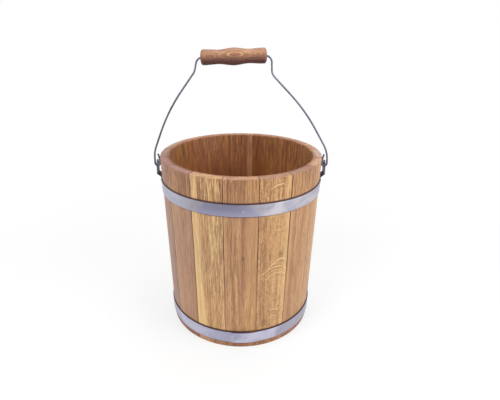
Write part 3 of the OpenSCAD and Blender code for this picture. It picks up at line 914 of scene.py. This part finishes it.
def mountCopy(name, node, slot, softEdge, material):
    # A softened copy of a node's own mesh takes its place
    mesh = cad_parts[node].data.copy()
    mesh.name = name
    shape = bmesh.new()
    shape.from_mesh(mesh)
    bmesh.ops.remove_doubles(shape, verts=shape.verts, dist=0.002 * mm)
    bmesh.ops.dissolve_limit(shape, angle_limit=math.radians(0.5), verts=shape.verts, edges=shape.edges)
    bmesh.ops.recalc_face_normals(shape, faces=shape.faces)
    shape.to_mesh(mesh)
    shape.free()
    mesh.materials.clear()
    mesh.materials.append(material)
    piece = addObject(name, mesh)
    softenEdges(piece, softEdge)
    mount(piece, "bucket", slot, node)


def makeBottom(settings):
    seeds = settings["seeds"]
    for side in ("left", "middle", "right"):
        name = f"bottomBoard{side.title()}"
        boardWood = makeBoardMaterial(f"boardWood{side.title()}", settings, seeds[side])
        mountCopy(name, f"bottom_board_{side}", "board_wood", settings["softEdge"], boardWood)
    dress("bottom_dowels", makeBoardMaterial("dowelWood", settings, seeds["dowels"]))


makeBottom(bottomSet)
print("bottom laid")

# Zinc: slow clouds over fine mottle, dark lines along the edges, and bands that reach from one azimuth to
# another. On the upper hoop these bands are painted reflections of the room.
zincSet = {
    "metal": 0.85,
    "rough": 0.36,
    "cloudRough": 0.14,
    "ragged": 9.0,  # degrees by which a band's ends wander
    "edgeTone": (84, 64, 74),
    "relief": 0.03 * mm,
}
hoopSet = {
    "steps": 340,
    "edge": 0.35 * mm,
    "lapLength": 34 * mm,
    "layerGap": 0.02 * mm,
    "clip": 3 * mm,
    "hoops": {
        # bands: from, to, slant of each end in degrees over the width, tone, amount
        "hoopUpper": {
            "node": "upper_hoop", "low": tub["upperHoopAt"], "lapAt": math.pi,
            "tones": ((170, 166, 180), (197, 194, 203)),
            "stains": [
                # Painted reflections: the dark patch of the room in front, and lighter and darker bands
                # beside it
                (-29, 14, 6, 9, (168, 166, 194), 0.9), (16, 29, 8, 2, (206, 202, 212), 0.8),
                (29, 37, 0, 3, (166, 165, 184), 0.5), (-84, -34, 2, 4, (178, 178, 198), 0.5),
            ],
        },
        "hoopLower": {
            "node": "lower_hoop", "low": tub["lowerHoopAt"], "lapAt": 0.0,
            "tones": ((166, 165, 188), (194, 193, 211)),
            "stains": [(26, 84, 4, 4, (146, 140, 156), 0.6)],
        },
    },
}


def hoopFace(height):
    return outerRadius(height) + tub["hoopGap"] + tub["hoopThickness"]


def makeZincMaterial(name, low, high, edgeHeights=(), stains=()):
    material, shader, place = newMaterial(name)
    cloud = noise(stretch(place, (13, 13, 34)), 1.0, 2.0, 0.5, 0.6)
    share = plus(times(cloud, 0.85), times(noise(place, 190), 0.15))
    colour = mixColour(fade(share, 0.38, 0.62), tone(*low), tone(*high))
    x, y, height = split(place)
    azimuth = times(calc("ARCTAN2", x, times(y, -1.0)), 180 / math.pi)
    ragged = times(minus(noise(place, 70), 0.5), zincSet["ragged"])
    # Bands between two azimuths; those of the upper hoop are painted reflections
    for start, end, startSlant, endSlant, shade, amount in stains:
        upIt = over(minus(height, edgeHeights[0]), tub["hoopWidth"])
        fromStart = plus(minus(minus(azimuth, start), times(upIt, startSlant)), ragged)
        toEnd = plus(minus(minus(end, azimuth), times(upIt, endSlant)), ragged)
        within = times(fade(fromStart, -2.0, 2.5), fade(toEnd, -2.0, 2.5), amount)
        colour = paint(colour, within, shade)
    for edge in edgeHeights:
        near = calc("ABSOLUTE", minus(height, edge))
        colour = paint(colour, fade(near, 0.7 * mm, 0.2 * mm, 0.0, 0.8), zincSet["edgeTone"])
    shader.inputs["Metallic"].default_value = zincSet["metal"]
    relief = plus(times(cloud, 1.5), noise(stretch(place, (60, 60, 900)), 1.0, 3.0))
    rough = plus(zincSet["rough"], times(cloud, zincSet["cloudRough"]))
    finish(shader, colour, rough, relief, zincSet["relief"])
    return material


def makeHoops(settings):
    for name, own in settings["hoops"].items():
        low, high = own["low"], own["low"] + tub["hoopWidth"]
        inner = outerRadius(low) + tub["hoopGap"]
        outer = inner + tub["hoopThickness"]
        rise = tub["slope"] * tub["hoopWidth"]
        corners = [(inner, low), (outer, low), (outer + rise, high), (inner + rise, high)]
        section = drawSection("stripSection", easedOutline(corners, settings["edge"], 2), inner)
        half = settings["lapLength"] / hoopFace(low) / 2
        ramp = math.acos(hoopFace(low) / (hoopFace(low) + tub["hoopThickness"]))
        zinc = makeZincMaterial(name + "Zinc", *own["tones"], (low, high), own["stains"])
        hoop = grow(
            name, section, stripTree, zinc,
            RingRadius=inner, Thickness=tub["hoopThickness"] + settings["layerGap"],
            Start=own["lapAt"] - half - math.pi / 2, Turn=2 * math.pi + 2 * half,
            RampFrom=2 * half, RampTo=2 * half + ramp, Steps=settings["steps"],
            MiddleHeight=(low + high) / 2, Width=tub["hoopWidth"], Clip=settings["clip"],
        )
        smooth(hoop, "strip")
        mount(hoop, "bucket", "galvanised_steel", own["node"])


makeHoops(hoopSet)
print("hoops bent")

# Ears, softened copies of the pressed plates
earSet = {
    "softEdge": 0.35 * mm,
    "tones": ((92, 90, 108), (150, 148, 168)),
    "step": (256 * mm, 263 * mm),
    "stepTone": (40, 36, 50),
}


def darkenStep(material, settings):
    # The step under the eye plate is darker
    tree = material.node_tree
    base = tree.nodes["Principled BSDF"].inputs["Base Color"]
    height = split(addNode(tree, "ShaderNodeTexCoord").outputs["Object"])["Z"]
    low, high = settings["step"]
    inStep = times(fade(height, low - 2 * mm, low), fade(height, high + 2 * mm, high, 0.0, 0.85))
    plug(paint(base.links[0].from_socket, inStep, settings["stepTone"]), base)


def makeEars(settings):
    earZinc = makeZincMaterial("earZinc", *settings["tones"])
    darkenStep(earZinc, settings)
    for side in ("left", "right"):
        mountCopy(f"ear{side.title()}", f"{side}_ear", "galvanised_steel", settings["softEdge"], earZinc)


makeEars(earSet)
print("ears dressed")

# Rivets and nails: one turned pin for each kind, set round the tub
earHalf = math.asin(4 * mm / hoopFace(250 * mm))
rivet = {"shank": 3 * mm, "head": 6 * mm, "start": tub["hoopGap"]}


def lapRivets(hoop, lapAt, height, tones):
    pitch = 17 * mm / hoopFace(tub[f"{hoop}HoopAt"])
    return {
        **rivet, "name": f"{hoop}LapRivets", "node": f"{hoop}_hoop_rivets", "tones": tones,
        "stack": 2.82 * mm, "dome": 0.7 * mm, "count": 2, "height": height,
        "first": lapAt - pitch / 2, "pitch": pitch,
    }


pinSet = [
    {**rivet, "name": "earRivets", "node": "ear_rivets", "tones": ((150, 150, 168), (190, 190, 206)),
     "stack": 3.45 * mm, "dome": 1.6 * mm, "count": 4, "height": 250 * mm,
     "first": -math.pi / 2 - earHalf, "pitch": 2 * earHalf},
    lapRivets("upper", math.pi, 251 * mm, ((146, 145, 166), (184, 183, 202))),
    lapRivets("lower", 0.0, 21 * mm, ((158, 156, 174), (186, 184, 200))),
    {"name": "hoopNails", "node": "hoop_nails", "tones": ((150, 149, 168), (176, 175, 192)),
     "shank": 2 * mm, "stack": 10.5 * mm, "head": 4.5 * mm, "dome": 0.8 * mm, "count": 2,
     "height": 248.5 * mm, "start": -9 * mm, "first": math.radians(1.2), "pitch": math.radians(156.3)},
]


def pinSection(settings, steps=7):
    shank, head = settings["shank"] / 2, settings["head"] / 2
    stack, dome = settings["stack"], settings["dome"]
    ball = (head**2 + dome**2) / (2 * dome)
    spread = math.asin(head / ball)
    points = [(0, 0), (shank, 0), (shank, stack)]
    for number in range(steps + 1):
        angle = spread * (1 - number / steps)
        points.append((ball * math.sin(angle), stack + dome - ball + ball * math.cos(angle)))
    return points


def turnFull(name, points, pathRadius, steps, material):
    section = drawSection(name + "Section", points, pathRadius)
    return grow(
        name, section, turnTree, material,
        PathRadius=pathRadius, Start=0.0, Sweep=2 * math.pi, Steps=steps + 1, ClosedEnds=False,
    )


def makePins(kinds):
    for kind in kinds:
        pinZinc = makeZincMaterial(kind["name"] + "Zinc", *kind["tones"])
        pin = turnFull("pin", pinSection(kind), 1 * mm, 24, pinZinc)
        pins = grow(
            kind["name"], pin, pinTree, pinZinc,
            Count=kind["count"], FaceRadius=outerRadius(kind["height"]), Height=kind["height"],
            Lean=tub["lean"], Offset=kind["start"], First=kind["first"] - math.pi / 2, Pitch=kind["pitch"],
            PairTurn=math.pi,
        )
        smooth(pins, "turned")
        mount(pins, "bucket", "galvanised_steel", kind["node"])


makePins(pinSet)
print("rivets and nails set")

# Bail: one wire with a hook in each eye, a knee and an arm on each side and a level stretch for the grip
bailSet = {
    "wire": 3.2 * mm,
    "eyeSide": 144.9 * mm,
    "eyeWire": 275.2 * mm,
    "hookRadius": 4.5 * mm,
    "hookBend": 9.5 * mm,
    "hookTip": 21 * mm,
    "tipLean": 3 * mm,
    "kneeRise": 25 * mm,
    "armBow": 10 * mm,
    "carrierRise": 185 * mm,
    "carrierLength": 120.6 * mm,
    "carrierShift": -11.3 * mm,
    "tilt": math.radians(1.9),
    "shoulders": {-1: (22.5 * mm, 4.7 * mm), 1: (29.6 * mm, 0.8 * mm)},  # drop and flare of each side
    "bends": [0, 4.5, 4.5, 4.5, 58, 310, 18, 11],  # mm, from the tip of a hook to the grip
    "bendSteps": 10,
    "sides": 16,
    "softEdge": 0.4 * mm,
    "tones": ((112, 110, 128), (138, 136, 152)),
    "metal": 0.8,
}


def onCarrier(settings, along):
    return Vector((
        settings["carrierShift"] + along * math.cos(settings["tilt"]), 0,
        settings["eyeWire"] + settings["carrierRise"] + along * math.sin(settings["tilt"]),
    ))


def halfBail(settings, side):
    drop, flare = settings["shoulders"][side]
    inner = side * (settings["eyeSide"] - settings["hookRadius"])
    outer = side * (settings["eyeSide"] + settings["hookRadius"])
    eye = settings["eyeWire"]
    carrierEnd = onCarrier(settings, side * settings["carrierLength"] / 2)
    top = carrierEnd + Vector((side * flare, 0, -drop))
    knee = Vector((outer, 0, eye + settings["kneeRise"]))
    outwards = Vector((top.z - knee.z, 0, knee.x - top.x)).normalized() * side
    return [
        Vector((inner + side * settings["tipLean"], 0, eye + settings["hookTip"])),
        Vector((inner, 0, eye + settings["hookBend"])),
        Vector((inner, 0, eye)),
        Vector((outer, 0, eye)),
        knee,
        (top + knee) / 2 + outwards * settings["armBow"],
        top,
        carrierEnd,
    ]


def makeWireMaterial(settings):
    material, shader, place = newMaterial("wireSteel")
    cloud = noise(place, 30, 3, 0.6)
    low, high = settings["tones"]
    shader.inputs["Metallic"].default_value = settings["metal"]
    colour = mixColour(fade(cloud, 0.3, 0.7), tone(*low), tone(*high))
    finish(shader, colour, plus(0.4, times(cloud, 0.2)))
    return material


def makeBail(settings):
    corners = halfBail(settings, -1) + halfBail(settings, 1)[::-1]
    bends = [size * mm for size in settings["bends"] + settings["bends"][::-1]]
    bail = grow(
        "bailWire", drawLine("bailLine", corners, radii=bends), wireTree, makeWireMaterial(settings),
        WireDiameter=settings["wire"], BendSteps=settings["bendSteps"], Sides=settings["sides"],
    )
    softenEdges(bail, settings["softEdge"])
    mount(bail, "bail", "bail_wire", "bail")


makeBail(bailSet)
print("bail bent")

# Grip: turned between centres, with a belly, two waists and two knobs
gripSet = {
    "length": 107 * mm,
    "belly": 28 * mm,
    "waist": 22.8 * mm,
    "knob": 25 * mm,
    "waistAt": 25 * mm,
    "end": 4.2 * mm,
    "face": 8 * mm,
    "bore": 4.8 * mm,
    "rest": -1.2 * mm,
    "points": 28,
    "endPoints": 9,
    "around": 64,
    "tones": ((172, 124, 92), (132, 88, 66), (126, 76, 66)),
    "wood": {"Turn": math.radians(-72), "Seed": 5.2, "Pith Side": 3 * mm, "Pith Depth": 58 * mm,
             "Ring Gap": 2.6 * mm, "Pith Slope": 0.0, "Fleck": 0.12, "Grain": 0.5},
    "ovals": [
        # along the grip, up round it, half length, half width in millimetres, strength
        (2.5, 4, 11.5, 3.4, 0.8),
        (2.5, 4, 25, 7.5, 0.22),
        (39, 4.5, 5.5, 2.4, 0.6),
        (-38, 2, 9, 4.0, 0.3),
    ],
    "ovalTones": ((150, 98, 66), (222, 178, 118)),
    # painted shade on the underside
    "underside": (84, 50, 48),
    "relief": 0.04 * mm,
}


def wave(start, end, share):
    return (start + end) / 2 + (start - end) / 2 * math.cos(math.pi * share)


def gripRadius(settings, along):
    waistAt, knobAt = settings["waistAt"], settings["length"] / 2 - 2 * settings["end"]
    if along < waistAt:
        return wave(settings["belly"], settings["waist"], along / waistAt) / 2
    if along < knobAt:
        return wave(settings["waist"], settings["knob"], (along - waistAt) / (knobAt - waistAt)) / 2
    return settings["knob"] / 2


def gripSection(settings):
    bodyEnd, points, face = settings["length"] / 2 - settings["end"], settings["points"], settings["face"] / 2
    places = [bodyEnd * number / points for number in range(points + 1)]
    half = [(gripRadius(settings, along), along) for along in places]
    for number in range(1, settings["endPoints"] + 1):
        angle = math.pi / 2 * number / settings["endPoints"]
        radius = face + (settings["knob"] / 2 - face) * math.cos(angle)
        half.append((radius, bodyEnd + settings["end"] * math.sin(angle)))
    half.append((settings["bore"] / 2, settings["length"] / 2))
    return [(radius, -along) for radius, along in half[:0:-1]] + half


def makeGripMaterial(settings, centre, tilt):
    material, shader, place = newMaterial("gripWood")
    own = made(place.id_data, "ShaderNodeMapping", {
        "Vector": place, "Location": centre, "Rotation": (0, math.pi / 2 - tilt, 0),
    }, vector_type="TEXTURE")
    wood = useWood(own, settings, **settings["wood"])
    colour = wood["Color"]
    # Own frame: -X is up, -Y is the front and Z runs along the grip. Rings cut flat by the lathe show as
    # ovals.
    x, y, along = split(own)
    aroundIt = times(calc("ARCTAN2", times(x, -1.0), times(y, -1.0)), 13 * mm)
    within, line = settings["ovalTones"]
    for middle, up, length, width, amount in settings["ovals"]:
        offZ = over(minus(along, middle * mm), length * mm)
        reach = away(offZ, over(minus(aroundIt, up * mm), width * mm))
        onLine = times(
            fade(calc("ABSOLUTE", minus(reach, 1.0)), 0.22, 0.04, 0.0, amount),
            fade(calc("ABSOLUTE", offZ), 0.3, 0.8, 0.45, 1.0),
        )
        colour = paint(paint(colour, fade(reach, 1.0, 0.7, 0.0, 0.35 * amount), within), onLine, line)
    # The underside is darker: painted shade
    colour = paint(colour, fade(x, -9 * mm, 9 * mm, 0.0, 0.85), settings["underside"])
    finish(shader, colour, wood["Rough"], wood["Relief"], settings["relief"])
    return material


def makeGrip(settings):
    centre, tilt = onCarrier(bailSet, settings["rest"]), bailSet["tilt"]
    material = makeGripMaterial(settings, centre, tilt)
    grip = turnFull("gripTurned", gripSection(settings), 6 * mm, settings["around"], material)
    grip.data.transform(Matrix.Translation(centre) @ Matrix.Rotation(math.pi / 2 - tilt, 4, "Y"))
    smooth(grip, "turned")
    mount(grip, "grip", "grip_wood", "grip")


makeGrip(gripSet)
print("grip turned")
